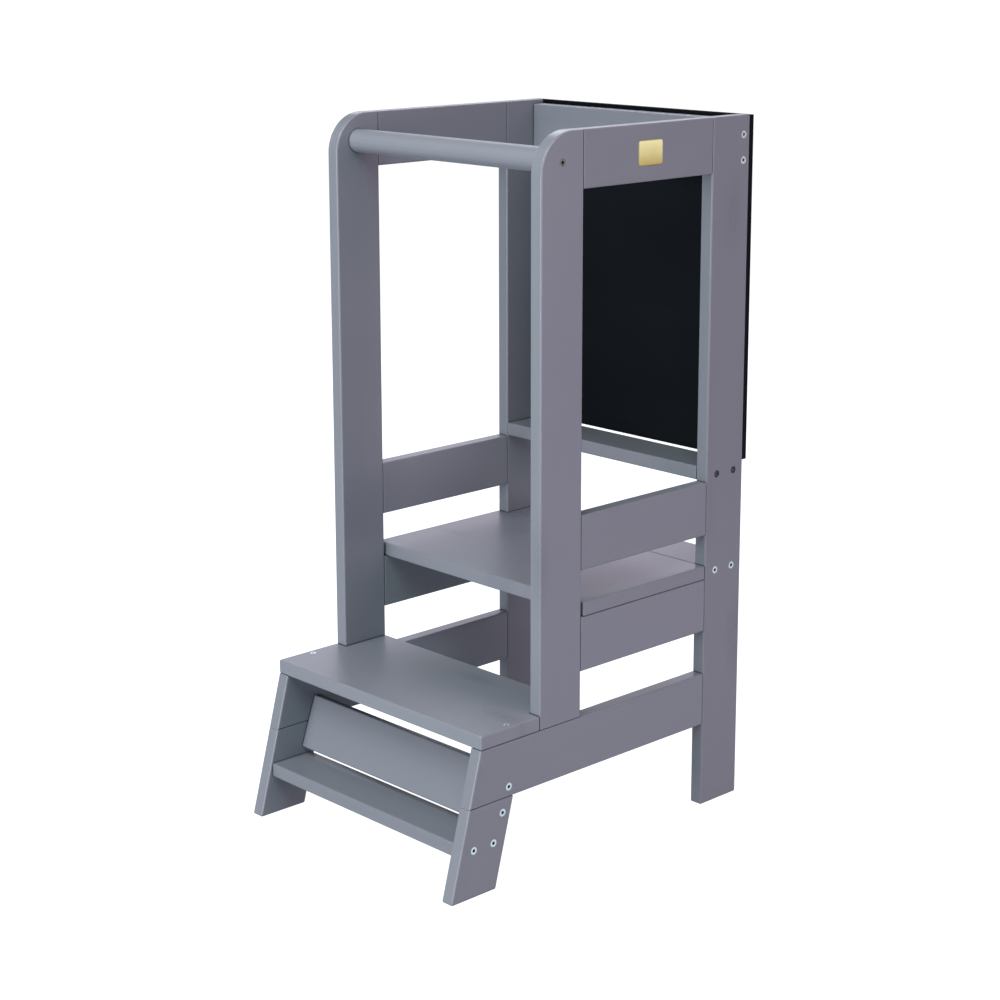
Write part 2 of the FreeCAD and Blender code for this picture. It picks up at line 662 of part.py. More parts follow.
def cross_screw(name, length, head, shank):
    """Wood screw with a cross recess."""
    core = f"({shank} - sizes.screw_core_drop)"
    body = turned_pin(name, length, head, shank, core, "sizes.screw_neck_end", "sizes.screw_point")
    before = body.Shape.Volume
    sketch = new_sketch(body, "YZ_Plane")
    arm = "sizes.cross_arm / 2"
    slot = "sizes.screw_slot / 2"
    draw_polygon(sketch, ((arm, f"-{slot}"), (arm, slot), (slot, slot), (slot, arm),
                          (f"-{slot}", arm), (f"-{slot}", slot), (f"-{arm}", slot),
                          (f"-{arm}", f"-{slot}"), (f"-{slot}", f"-{slot}"), (f"-{slot}", f"-{arm}"),
                          (slot, f"-{arm}"), (slot, f"-{slot}")))
    cut_socket(body, sketch, "sizes.cross_depth", before)
    return body


def wood_dowel():
    """Plain dowel along x, centred on its own origin, with chamfered ends."""
    body = new_body("wood_dowel")
    sketch = new_sketch(body, "YZ_Plane")
    draw_circles(sketch, [("0", "0")], "sizes.dowel_width")
    pad = extrude(body, sketch, "sizes.dowel_length", both_ways=True)
    end = value("sizes.dowel_length / 2")
    rims = [f"Edge{number}" for number, edge in enumerate(pad.Shape.Edges, 1)
            if lies_at(edge, "x", end) or lies_at(edge, "x", -end)]
    chamfer = body.newObject("PartDesign::Chamfer", "wood_dowel_ends")
    chamfer.Base = (pad, rims)
    chamfer.setExpression("Size", "sizes.dowel_ease")
    doc.recompute()
    return body


TURNS = {
    "+x": FreeCAD.Rotation(),
    "-x": FreeCAD.Rotation(FreeCAD.Vector(0, 0, 1), 180),
    "y": FreeCAD.Rotation(FreeCAD.Vector(0, 0, 1), 90),
    "-y": FreeCAD.Rotation(FreeCAD.Vector(0, 0, 1), -90),
    "z": FreeCAD.Rotation(FreeCAD.Vector(0, 1, 0), -90),
    "-z": FreeCAD.Rotation(FreeCAD.Vector(0, 1, 0), 90),
}


def group(label, pattern, places):
    """Copies of one fastener as a single node; each place is (x, y, z, direction)."""
    links = []
    for number, (x, y, z, direction) in enumerate(places, 1):
        link = doc.addObject("App::Link", f"{label}_{number}")
        link.LinkedObject = pattern
        link.Placement = FreeCAD.Placement(FreeCAD.Vector(), TURNS[direction])
        for axis, expression in zip("xyz", (x, y, z)):
            link.setExpression(f"Placement.Base.{axis}", expression)
        links.append(link)
    compound = doc.addObject("Part::Compound", label)
    compound.Label = label
    compound.Links = links
    return keep(compound)


def bolt_group(label, bolt, places):
    """Connector bolts driven in from both outer faces at each (y, z) place."""
    head = f"{HALF_WIDTH} - sizes.bolt_sink"
    spots = [(f"-({head})", y, z, "+x") for y, z in places]
    spots += [(head, y, z, "-x") for y, z in places]
    return group(label, bolt, spots)


def frame_x():
    """The middle of each side frame's thickness."""
    return f"-({HALF_WIDTH} - {HALF_THICK})", f"{HALF_WIDTH} - {HALF_THICK}"


def dowel_group(label, dowel, places, direction):
    """Dowels in the middle of both side frames at each (y, z) place."""
    return group(label, dowel, [(x, y, z, direction) for x in frame_x() for y, z in places])


def all_bolts():
    """Every group of connector bolts."""
    bolt = connector_bolt()
    handle = (f"{FRONT} + sizes.handle_inset", f"sizes.overall_height - {HANDLE_BOLT}")
    bolt_group("handle_bolts", bolt, [handle])
    rail_y = f"{REAR} - sizes.back_rail_inset - {HALF_THICK}"
    levels = pair(f"sizes.back_rail_low + {WIDE} / 2")
    bolt_group("back_rail_bolts", bolt, [(rail_y, level) for level in levels])
    post = pair(f"{BACK_POST} + {POST_BOLTS}")
    bolt_group("tray_bolts", bolt, [(y, "sizes.tray_low + sizes.tray_bolt_up") for y in post])
    bolt_group("cross_board_bolts", bolt, [(y, f"{PLATFORM_LOW} + {HALF_THICK}") for y in post])
    bolt_group("kick_board_bolts", bolt, [kick_bolt(1), kick_bolt(-1)])
    bolt_group("lower_step_bolts", bolt, [(y, f"sizes.step_low + {HALF_THICK}") for y in STEP_BOLTS])


def all_screws():
    """The tread's two screws and the chalkboard's screws."""
    screw = cross_screw("tread_screw", "sizes.screw_length", "sizes.screw_head", "sizes.screw_shank")
    head = f"{POST_LOW} + {THICK} - sizes.bolt_sink"
    group("tread_screws", screw,
          [(x, f"{FRONT} - sizes.screw_back", head, "-z") for x in frame_x()])
    pin = cross_screw("chalkboard_screw", "sizes.pin_length", "sizes.pin_head", "sizes.pin_shank")
    rear = f"{REAR} + sizes.chalkboard_thick"
    group("chalkboard_screws", pin,
          [(x, rear, level, "-y") for x in frame_x() for level in pin_levels("0")])


def all_dowels():
    """The dowels hidden in every glued joint of the side frames and under the platform."""
    dowel = wood_dowel()
    for label, low in (("top_rail_dowels", TOP_RAIL_LOW),
                       ("guard_rail_dowels", "sizes.guard_rail_low"),
                       ("platform_rail_dowels", "sizes.platform_rail_low")):
        levels = pair(f"{low} + {WIDE} / 2")
        dowel_group(label, dowel, [(y, z) for y in (RAIL_FRONT, BACK_POST) for z in levels], "y")
    levels = pair(f"sizes.bottom_rail_low + {WIDE} / 2")
    dowel_group("bottom_rail_dowels", dowel, [(BACK_POST, z) for z in levels], "y")
    feet = pair(f"{FRONT} + {WIDE} / 2")
    dowel_group("post_foot_dowels", dowel, [(y, POST_LOW) for y in feet], "z")
    dowel_group("leg_dowels", dowel,
                [(y, "sizes.bottom_rail_low") for _, y in leg_dowel_places("0")], "z")
    level = f"{PLATFORM_LOW} + sizes.dowel_sink - sizes.dowel_length / 2"
    dowel_group("platform_dowels", dowel,
                [(y, level) for y in platform_dowel_places(RAIL_FRONT)], "z")


# ------------------------------------------------------------------ the whole stool


def build():
    """Make every piece."""
    fill_sheet()
    for name, side in SIDES:
        front_post(name, side)
        back_post(name, side)
        middle_rail(f"{name}_top_rail", side, TOP_RAIL_LOW)
        middle_rail(f"{name}_guard_rail", side, "sizes.guard_rail_low")
        middle_rail(f"{name}_platform_rail", side, "sizes.platform_rail_low", top_dowels=True)
        bottom_rail(name, side)
        front_leg(name, side)
    handle_bar()
    upper_tread()
    kick_board()
    lower_step()
    platform_board()
    rear_cross_board()
    chalk_tray()
    back_top_rail()
    chalkboard()
    blank_plate()
    all_bolts()
    all_screws()
    all_dowels()
    doc.recompute()


def check():
    """Stop if any object failed or any piece has no sound shape."""
    for item in doc.Objects:
        if "Invalid" in item.State or "Error" in item.State:
            raise RuntimeError(f"{item.Label} failed: {item.State}")
    for piece in parts:
        if piece.Shape.isNull() or not piece.Shape.isValid():
            raise RuntimeError(f"{piece.Label} has no valid shape")


def write():
    """Write each piece to a file of its own name."""
    os.makedirs("parts", exist_ok=True)
    for piece in parts:
        piece.Shape.exportStep(f"parts/{piece.Label}.step")
    print(len(parts), "pieces written")


build()
check()
write()
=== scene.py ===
"""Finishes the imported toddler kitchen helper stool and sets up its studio.

The boards and the grab bar get their satin paint, the chalkboard its coating, the bolts and screws
their zinc and the dowels bare wood. A bare brass plate with a rounded front edge replaces the
plain one. The studio has a white floor, soft lights and a camera at the photograph's angle.
"""

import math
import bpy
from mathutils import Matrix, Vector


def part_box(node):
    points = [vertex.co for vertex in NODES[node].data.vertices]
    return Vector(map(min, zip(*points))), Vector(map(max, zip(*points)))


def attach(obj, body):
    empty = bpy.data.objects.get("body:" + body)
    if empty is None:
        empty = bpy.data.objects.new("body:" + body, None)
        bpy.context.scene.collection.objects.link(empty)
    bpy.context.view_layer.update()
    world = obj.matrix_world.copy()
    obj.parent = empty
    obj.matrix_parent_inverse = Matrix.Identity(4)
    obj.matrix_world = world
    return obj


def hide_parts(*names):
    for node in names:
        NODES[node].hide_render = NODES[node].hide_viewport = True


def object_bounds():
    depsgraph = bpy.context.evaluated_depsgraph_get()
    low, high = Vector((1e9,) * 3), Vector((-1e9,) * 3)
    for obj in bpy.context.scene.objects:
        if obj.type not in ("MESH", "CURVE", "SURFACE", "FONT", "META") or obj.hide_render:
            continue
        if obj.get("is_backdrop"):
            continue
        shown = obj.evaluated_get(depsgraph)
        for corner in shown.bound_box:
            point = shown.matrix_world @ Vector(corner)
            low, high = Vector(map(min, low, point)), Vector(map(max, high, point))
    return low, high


bl_info = {
    "name": "Toddler kitchen helper stool",
    "version": (1, 1, 0),
    "blender": (4, 5, 0),
    "location": "3D View > Sidebar > Helper stool",
    "description": "Finishes a helper stool's boards, metal and chalkboard, and adds a studio",
    "category": "Object",
}

import bmesh
import bpy
from bpy.props import FloatProperty, FloatVectorProperty, PointerProperty
from mathutils import Matrix, Vector

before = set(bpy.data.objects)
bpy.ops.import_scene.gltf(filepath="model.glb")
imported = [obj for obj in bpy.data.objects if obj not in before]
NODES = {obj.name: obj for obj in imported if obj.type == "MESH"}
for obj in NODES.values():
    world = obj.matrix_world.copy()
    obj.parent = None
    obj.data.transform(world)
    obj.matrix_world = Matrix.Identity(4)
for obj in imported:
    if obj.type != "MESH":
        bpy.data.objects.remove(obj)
cad_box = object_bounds()

# Turns that bring a board's length onto Z, so that its grain runs the right way. The legs lean
# back by 15 degrees.
ALONG_Z = (0.0, 0.0, 0.0)
ALONG_Y = (math.radians(90), 0.0, 0.0)
ALONG_X = (0.0, math.radians(90), 0.0)
ALONG_LEG = (math.radians(15), 0.0, 0.0)

# Painted light and shade: how much lighter or darker each board's paint is drawn beside the
# others, standing in for the light and shade that falls on each board
PAINTED_LIGHT_TONES = {
    "front_post": 1.04, "back_post": 0.945, "top_rail": 0.97, "guard_rail": 1.0,
    "platform_rail": 1.04, "bottom_rail": 1.03, "front_leg": 1.05, "upper_tread": 1.08,
    "kick_board": 1.0, "lower_step": 0.98, "platform_board": 1.02, "rear_cross_board": 1.0,
    "handle_bar": 1.05, "back_top_rail": 1.02, "chalk_tray": 0.93,
}
# How much softer the sheen of the turned and sanded grab bar is
BAR_SOFTNESS = 0.14
# Knots that show through the paint on top of a board: the middle of each in X and Y
KNOTS = {
    "upper_tread": ((0.039, -0.075), (0.160, -0.146)),
    "platform_board": ((-0.155, 0.061), (0.045, -0.050)),
}
# Plating of the bolts and screws: how light the head is, how light the painted tone down in the
# driver socket is, and whether the plating is satin. The tone down in the socket is painted shade;
# on the tray bolts it is a painted highlight, and their dark head is a painted dark reflection.
# Those that aren't listed are bright.
BRIGHT = (1.0, 0.12, False)
PLATING_AND_PAINTED_LIGHT = {
    "back_rail_bolts": (1.0, 0.12, True),
    # The tray bolts' dark head is a painted dark reflection, and their bright socket a painted
    # highlight
    "tray_bolts": (0.11, 1.0, False),
    "tread_screws": (1.0, 0.12, True),
    "chalkboard_screws": (0.9, 0.11, True),
}


# ------------------------------------------------------------------ settings


class StoolPaint(bpy.types.PropertyGroup):
    """The satin grey paint on every board."""

    colour: FloatVectorProperty(
        name="Paint colour", description="Colour of the satin paint", subtype="COLOR", size=3,
        min=0, max=1, default=(0.1955, 0.2035, 0.2575))
    roughness: FloatProperty(
        name="Paint roughness", description="How soft the paint's reflections are",
        subtype="FACTOR", min=0, max=1, default=0.37)
    mottle: FloatProperty(
        name="Mottle", description="How much the paint's tone varies over a board",
        subtype="FACTOR", min=0, max=1, default=0.055)
    relief: FloatProperty(
        name="Grain relief", description="Height of the wood grain that shows through the paint",
        subtype="DISTANCE", unit="LENGTH", min=0, max=0.001, default=0.00004)
    ring_gap: FloatProperty(
        name="Ring gap", description="Distance between the growth rings in the wood",
        subtype="DISTANCE", unit="LENGTH", min=0.001, max=0.02, default=0.0042)
    # Painted shade down in the joints: how dark it gets, and how far from a joint it reaches
    joint_shade_depth: FloatProperty(
        name="Joint shade", description="How dark the paint gets down in a joint",
        subtype="FACTOR", min=0, max=1, default=0.9)
    joint_shade_reach: FloatProperty(
        name="Joint reach", description="How far from a joint the paint is still darker",
        subtype="DISTANCE", unit="LENGTH", min=0.0005, max=0.02, default=0.003)


class StoolMetal(bpy.types.PropertyGroup):
    """The zinc-plated bolts and screws, and the bare brass plate."""

    zinc: FloatVectorProperty(
        name="Zinc colour", description="Colour of the plating on the bolts and screws",
        subtype="COLOR", size=3, min=0, max=1, default=(0.85, 0.95, 1.0))
    zinc_roughness: FloatProperty(
        name="Zinc roughness", description="How soft the reflections of bright plating are",
        subtype="FACTOR", min=0, max=1, default=0.22)
    satin_roughness: FloatProperty(
        name="Satin zinc roughness", description="How soft the reflections of satin plating are",
        subtype="FACTOR", min=0, max=1, default=0.5)
    # The lighter, upper end of the plate's painted reflection
    brass: FloatVectorProperty(
        name="Brass colour", description="Colour of the bare plate by its upper edge",
        subtype="COLOR", size=3, min=0, max=1, default=(1.0, 1.0, 0.56))
    # The darker, lower end of the plate's painted reflection, and the base tone of its brushing
    # and its darker rim
    shaded_brass: FloatVectorProperty(
        name="Aged brass colour", description="Colour of the bare plate by its lower edge",
        subtype="COLOR", size=3, min=0, max=1, default=(0.58, 0.49, 0.15))
    brass_roughness: FloatProperty(
        name="Brass roughness", description="How soft the plate's reflections are",
        subtype="FACTOR", min=0, max=1, default=0.5)
    plate_corner: FloatProperty(
        name="Plate corner", description="Radius of the plate's corners", subtype="DISTANCE",
        unit="LENGTH", min=0.0005, max=0.012, default=0.004)
    plate_bevel: FloatProperty(
        name="Plate bevel", description="Rounding of the plate's front edge", subtype="DISTANCE",
        unit="LENGTH", min=0.0001, max=0.0007, default=0.00035)


class StoolBoard(bpy.types.PropertyGroup):
    """The coating of the chalkboard."""

    colour: FloatVectorProperty(
        name="Coating colour", description="Colour of the clean chalkboard", subtype="COLOR",
        size=3, min=0, max=1, default=(0.0034, 0.0047, 0.0073))
    haze: FloatVectorProperty(
        name="Chalk haze", description="Colour of the board where wiped chalk is left",
        subtype="COLOR", size=3, min=0, max=1, default=(0.0050, 0.0065, 0.0090))
    roughness: FloatProperty(
        name="Coating roughness", description="How matt the coating is", subtype="FACTOR",
        min=0, max=1, default=0.6)


class StoolDowels(bpy.types.PropertyGroup):
    """The bare wood of the dowels."""

    pale: FloatVectorProperty(
        name="Pale wood", description="Colour of the wood between its flecks", subtype="COLOR",
        size=3, min=0, max=1, default=(0.72, 0.52, 0.33))
    fleck: FloatVectorProperty(
        name="Fleck", description="Colour of the wood's short flecks", subtype="COLOR", size=3,
        min=0, max=1, default=(0.52, 0.33, 0.18))


def light_power(name, description, watts):
    """A setting for one softbox: its power in red, green and blue."""
    return FloatVectorProperty(name=name, description=description, size=3, unit="POWER", min=0,
                               default=watts)


class StoolLights(bpy.types.PropertyGroup):
    """Power of each softbox in red, green and blue, and the floor's painted glow in reflections.
    """

    high_front: light_power("High front", "Softbox above the steps", (56.8, 52.2, 50.5))
    high_right: light_power("High right", "Softbox above the plate's side", (11.8, 7.0, 7.8))
    high_front_right: light_power("High front right", "Softbox above and right of the steps",
                                  (27.3, 41.9, 35.1))
    high_back_left: light_power("High back left", "Softbox above and behind, on the left",
                                (26.3, 28.2, 29.5))
    front: light_power("Front", "Softbox before the steps", (15.8, 21.2, 17.7))
    low_front: light_power("Low front", "Low softbox before the steps", (62.5, 61.3, 59.2))
    right: light_power("Right", "Softbox on the plate's side", (56.4, 44.6, 46.1))
    low_right: light_power("Low right", "Low softbox on the plate's side", (10.9, 8.8, 9.9))
    left: light_power("Left", "Softbox on the side without the plate", (20.0, 20.0, 21.0))
    back: light_power("Back", "Softbox behind the chalkboard", (8.0, 8.4, 9.6))
    back_left: light_power("Back left", "Softbox behind, on the left", (9.7, 8.4, 10.4))
    low_back_left: light_power("Low back left", "Low softbox behind, on the left", (4.2, 4.3, 4.5))
    # The floor's painted glow, seen only in reflections, near the stool and far from it
    near_sheen: FloatProperty(
        name="Near sheen", description="How bright the floor by the stool is in its reflections",
        min=0, max=2, default=0.48)
    far_sheen: FloatProperty(
        name="Far sheen",
        description="How bright the floor far from the stool is in its reflections",
        min=0, max=2, default=0.08)


class StoolCamera(bpy.types.PropertyGroup):
    """Where the camera stands and looks."""

    place: FloatVectorProperty(
        name="Camera place", description="Where the camera stands", subtype="TRANSLATION",
        unit="LENGTH", size=3, precision=6, default=(1.940561, -1.839426, 1.120050))
    yaw: FloatProperty(
        name="Yaw", description="Turn of the camera to the left of straight back", subtype="ANGLE",
        unit="ROTATION", default=0.810354)
    pitch: FloatProperty(
        name="Pitch", description="Tilt of the camera above the horizon", subtype="ANGLE",
        unit="ROTATION", default=-0.217207)
    roll: FloatProperty(
        name="Roll", description="Turn of the camera about its own axis", subtype="ANGLE",
        unit="ROTATION", default=-0.001725)
    focal: FloatProperty(
        name="Focal length", description="Focal length in parts of the picture's width",
        min=0.1, default=2.155334)
    centre: FloatVectorProperty(
        name="Picture centre", size=2, default=(0.502071, 0.410009),
        description="Where the lens points in the picture, from its top left corner, in parts of "
                    "its width")


# ------------------------------------------------------------------ node helpers


def new_material(name):
    """An empty node material with its output and a Principled shader joined up."""
    material = bpy.data.materials.new(name)
    material.use_nodes = True
    tree = material.node_tree
    tree.nodes.clear()
    output = tree.nodes.new("ShaderNodeOutputMaterial")
    shader = tree.nodes.new("ShaderNodeBsdfPrincipled")
    tree.links.new(shader.outputs["BSDF"], output.inputs["Surface"])
    return material, tree, shader


def put(tree, socket, value):
    """Give an input a socket, a number or a vector."""
    if isinstance(value, bpy.types.NodeSocket):
        tree.links.new(value, socket)
    else:
        socket.default_value = value


def put_all(tree, node, values):
    """Give a node's inputs their values in order."""
    for socket, value in zip(node.inputs, values):
        put(tree, socket, value)


def object_place(tree):
    """The place on the object, in metres."""
    return tree.nodes.new("ShaderNodeTexCoord").outputs["Object"]


def maths(tree, operation, *values):
    """A Math node's result; each value is a socket or a number."""
    node = tree.nodes.new("ShaderNodeMath")
    node.operation = operation
    put_all(tree, node, values)
    return node.outputs[0]


def vector_maths(tree, operation, *values):
    """A Vector Math node's result, which is a number for a length and otherwise a vector."""
    node = tree.nodes.new("ShaderNodeVectorMath")
    node.operation = operation
    put_all(tree, node, values)
    return node.outputs["Value" if operation == "LENGTH" else "Vector"]


def noise(tree, vector, scale=1.0, detail=2.0, roughness=0.5, output="Fac"):
    """A noise texture at a place."""
    node = tree.nodes.new("ShaderNodeTexNoise")
    put(tree, node.inputs["Vector"], vector)
    put(tree, node.inputs["Scale"], scale)
    put(tree, node.inputs["Detail"], detail)
    put(tree, node.inputs["Roughness"], roughness)
    return node.outputs[output]


def mapped(tree, vector, location=(0, 0, 0), rotation=(0, 0, 0), scale=(1, 1, 1)):
    """A vector scaled, turned and then moved."""
    node = tree.nodes.new("ShaderNodeMapping")
    put(tree, node.inputs["Vector"], vector)
    put(tree, node.inputs["Location"], location)
    put(tree, node.inputs["Rotation"], rotation)
    put(tree, node.inputs["Scale"], scale)
    return node.outputs["Vector"]


def mixed(tree, factor, first, second):
    """A colour between two, each a socket or a colour."""
    node = tree.nodes.new("ShaderNodeMix")
    node.data_type = "RGBA"
    put(tree, node.inputs["Factor"], factor)
    for socket, value in ((node.inputs["A"], first), (node.inputs["B"], second)):
        put(tree, socket, value if isinstance(value, bpy.types.NodeSocket) else (*value, 1.0))
    return node.outputs["Result"]


def ramp(tree, value, low, high, out_low=0.0, out_high=1.0):
    """A value stretched from one range to another and held inside it."""
    node = tree.nodes.new("ShaderNodeMapRange")
    put_all(tree, node, (value, low, high, out_low, out_high))
    return node.outputs["Result"]


def waves(tree, value, rate, depth):
    """Waves along a value, which reach up to 1 and down to 1 less twice their depth."""
    wave = maths(tree, "SINE", maths(tree, "MULTIPLY", value, rate))
    return maths(tree, "MULTIPLY_ADD", wave, depth, 1.0 - depth)


def varied(tree, value, spread, middle=0.0):
    """A middle number varied both ways by a value between 0 and 1."""
    return maths(tree, "MULTIPLY_ADD", value, spread, middle - spread / 2)


def bump(tree, height, distance, normal=None):
    """A normal raised by a height map."""
    node = tree.nodes.new("ShaderNodeBump")
    put(tree, node.inputs["Height"], height)
    put(tree, node.inputs["Distance"], distance)
    put(tree, node.inputs["Strength"], 1.0)
    if normal is not None:
        put(tree, node.inputs["Normal"], normal)
    return node.outputs["Normal"]


# Rays that each point sends out to measure its openness
OPENNESS_SAMPLES = 8


def openness(tree, reach):
    """How open the surface is within reach: 1 on a bare face, towards 0 down in a joint."""
    node = tree.nodes.new("ShaderNodeAmbientOcclusion")
    node.samples = OPENNESS_SAMPLES
    put(tree, node.inputs["Distance"], reach)
    return node.outputs["AO"]


def shade(colour, factor):
    """A colour made lighter or darker."""
    return tuple(min(1.0, channel * factor) for channel in colour)


def marked(tree, colour, where, mark, base):
    """A colour with a feature on it: a mark is how strongly it shows and its tone of the base."""
    strength, tone = mark
    return mixed(tree, maths(tree, "MULTIPLY", where, strength), colour, shade(base, tone))


def dress(node_name, material):
    """Give a CAD node one material."""
    mesh = NODES[node_name].data
    mesh.materials.clear()
    mesh.materials.append(material)


# ------------------------------------------------------------------ paint over wood

# Steps and spans that turn a board's seed into the part of the wood that it is cut from, in metres
SEED_STEPS = ((0.37, 1.9), (0.61, 2.3), (0.83, 3.1))

# Growth rings: the slow noise that moves the pith, how far it moves it in metres, how the rings
# are drawn out, and how thin they are. Each stretch is given twice across the grain, once along.
PITH_STRETCH = (2.4, 2.4, 0.5)
PITH_SCALE = 1.6
PITH_WANDER = (0.11, 0.11, 0.0)
RING_STRETCH = (1.0, 1.0, 0.02)
RING_SHARPNESS = 2.2

# Scattered knots: how many cells there are in a metre, how far from its middle a knot starts and
# is full, in parts of a cell, and the rate and depth of its rings
KNOT_CELLS = (10, 10, 3.4)
KNOT_REACH = (0.24, 0.07)
KNOT_RINGS = (150.0, 0.25)

# Knots at a place of their own: how the noise of the pith wavers their outline in X and Y, in
# metres, their stretch in X and Y, the same values as above, and how strong they are beside those
SPOT_WAVER = (0.02, 0.01, 0.0)
SPOT_STRETCH = (34.0, 90.0, 0.0)
SPOT_REACH = (1.5, 0.1)
SPOT_RINGS = (13.0, 0.3)
SPOT_STRENGTH = 1.6

# Fibres, streaks and slow drift, the texture of the dried paint, and what drift and streaks give
# to the tone
FIBRE_STRETCH = (260, 260, 9)
STREAK_STRETCH = (34, 34, 1.6)
DRIFT_SCALE = 5.5
SKIN_SCALE = 900.0
DRIFT_SHARE = 0.6
STREAK_SHARE = 0.4

# How strongly a feature shows in the paint, and how light it is beside the paint
RING_MARK = (0.05, 0.6)
KNOT_MARK = (0.24, 0.4)
# The tone of the painted shade down in a joint, beside the paint
JOINT_SHADE_TONE = 0.12
# How open the surface is where the painted shade of a joint starts and where it is full
JOINT_SHADE_OPENNESS = (0.86, 0.42)

# What drift and fibres add to the roughness, and what is taken off to keep its mean
DRIFT_GLOSS = 0.10
FIBRE_GLOSS = 0.04
GLOSS_SHIFT = 0.06
# Heights in parts of the grain's relief, the paint's own relief in metres, and its clear coat
FIBRE_HEIGHT = 0.45
RING_HEIGHT = 0.55
KNOT_HEIGHT = 1.6
SKIN_RELIEF = 0.000008
COAT_WEIGHT = 0.08
COAT_ROUGHNESS = 0.2


def growth_rings(tree, wood, gap):
    """Rings round a pith that wanders slowly along the board, and the noise that moves it."""
    slow = mapped(tree, wood, scale=PITH_STRETCH)
    wander = noise(tree, slow, PITH_SCALE, detail=1.0, output="Color")
    pith = vector_maths(tree, "MULTIPLY_ADD", wander, PITH_WANDER, wood)
    radius = vector_maths(tree, "LENGTH", vector_maths(tree, "MULTIPLY", pith, RING_STRETCH))
    smooth = waves(tree, radius, rate=2 * math.pi / gap, depth=0.5)
    return maths(tree, "POWER", smooth, RING_SHARPNESS), wander


def scattered_knots(tree, wood):
    """A knot here and there, drawn out along the grain, with tight rings of its own."""
    cells = tree.nodes.new("ShaderNodeTexVoronoi")
    put(tree, cells.inputs["Vector"], mapped(tree, wood, scale=KNOT_CELLS))
    put(tree, cells.inputs["Scale"], 1.0)
    apart = cells.outputs["Distance"]
    near = ramp(tree, apart, *KNOT_REACH)
    return maths(tree, "MULTIPLY", near, waves(tree, apart, *KNOT_RINGS))


def with_placed_knots(tree, knot, place, wander, spots):
    """Scattered knots joined by those that have a place of their own on the board."""
    waver = vector_maths(tree, "MULTIPLY_ADD", wander, SPOT_WAVER, place)
    for x, y in spots:
        middle = (x + SPOT_WAVER[0] / 2, y + SPOT_WAVER[1] / 2, 0.0)
        offset = vector_maths(tree, "SUBTRACT", waver, middle)
        apart = vector_maths(tree, "LENGTH", vector_maths(tree, "MULTIPLY", offset, SPOT_STRETCH))
        rings = maths(tree, "MULTIPLY", waves(tree, apart, *SPOT_RINGS), SPOT_STRENGTH)
        spot = maths(tree, "MULTIPLY", ramp(tree, apart, *SPOT_REACH), rings)
        knot = maths(tree, "MAXIMUM", knot, spot)
    return knot


def paint_material(name, turn, seed, lightness, softness, spots):
    """Satin paint on a board, with the wood's rings, fibres and knots faintly showing through, and
    painted shade down in its joints.
    """
    paint = bpy.context.scene.stool_paint
    # The grey is drawn lighter or darker by the board's painted light and shade
    grey = shade(paint.colour, lightness)
    material, tree, shader = new_material(name)
    # Board space has Z along the grain, and the seed gives every board wood of its own
    place = object_place(tree)
    board = mapped(tree, place, rotation=turn)
    wood = mapped(tree, board, location=[step * seed % span for step, span in SEED_STEPS])
    rings, wander = growth_rings(tree, wood, paint.ring_gap)
    knot = with_placed_knots(tree, scattered_knots(tree, wood), place, wander, spots)
    fibre = noise(tree, mapped(tree, wood, scale=FIBRE_STRETCH), detail=3.0, roughness=0.6)
    streak = noise(tree, mapped(tree, wood, scale=STREAK_STRETCH))
    drift = noise(tree, wood, DRIFT_SCALE)
    skin = noise(tree, board, SKIN_SCALE)

    # The tone drifts a little across a board and is darker over rings and knots, and painted shade
    # darkens it down in joints
    streaks = maths(tree, "MULTIPLY", streak, STREAK_SHARE)
    tone = maths(tree, "MULTIPLY_ADD", drift, DRIFT_SHARE, streaks)
    colour = mixed(tree, tone, shade(grey, 1 - paint.mottle), shade(grey, 1 + paint.mottle))
    colour = marked(tree, colour, rings, RING_MARK, grey)
    colour = marked(tree, colour, knot, KNOT_MARK, grey)
    # Painted shade: the paint is drawn darker where the surface is shut in, down in the joints
    openly = openness(tree, paint.joint_shade_reach)
    painted_joint_shade = ramp(tree, openly, *JOINT_SHADE_OPENNESS, out_high=paint.joint_shade_depth)
    colour = mixed(tree, painted_joint_shade, colour, shade(grey, JOINT_SHADE_TONE))
    put(tree, shader.inputs["Base Color"], colour)

    base_gloss = paint.roughness + softness - GLOSS_SHIFT
    gloss = maths(tree, "MULTIPLY_ADD", drift, DRIFT_GLOSS, base_gloss)
    gloss = maths(tree, "MULTIPLY_ADD", fibre, FIBRE_GLOSS, gloss)
    put(tree, shader.inputs["Roughness"], gloss)
    shader.inputs["Coat Weight"].default_value = COAT_WEIGHT
    shader.inputs["Coat Roughness"].default_value = COAT_ROUGHNESS

    height = maths(tree, "MULTIPLY", rings, RING_HEIGHT)
    height = maths(tree, "MULTIPLY_ADD", fibre, FIBRE_HEIGHT, height)
    height = maths(tree, "MULTIPLY_ADD", knot, KNOT_HEIGHT, height)
    relief = bump(tree, height, paint.relief)
    put(tree, shader.inputs["Normal"], bump(tree, skin, SKIN_RELIEF, relief))
    return material


def paint_board(node_name, turn, softness=0.0):
    """Paint one board, if need be with a softer sheen. Its place among the nodes is its seed."""
    seed = 1 + sorted(NODES).index(node_name)
    # The board's lightness is painted light and shade, drawn into its paint
    lightness = PAINTED_LIGHT_TONES[node_name.removeprefix("left_").removeprefix("right_")]
    spots = KNOTS.get(node_name, ())
    dress(node_name, paint_material(f"{node_name}_paint", turn, seed, lightness, softness, spots))


def paint_pair(board, turn):
    """Paint a board of the side frames, left and right."""
    for side in ("left", "right"):
        paint_board(f"{side}_{board}", turn)


# ------------------------------------------------------------------ other finishes

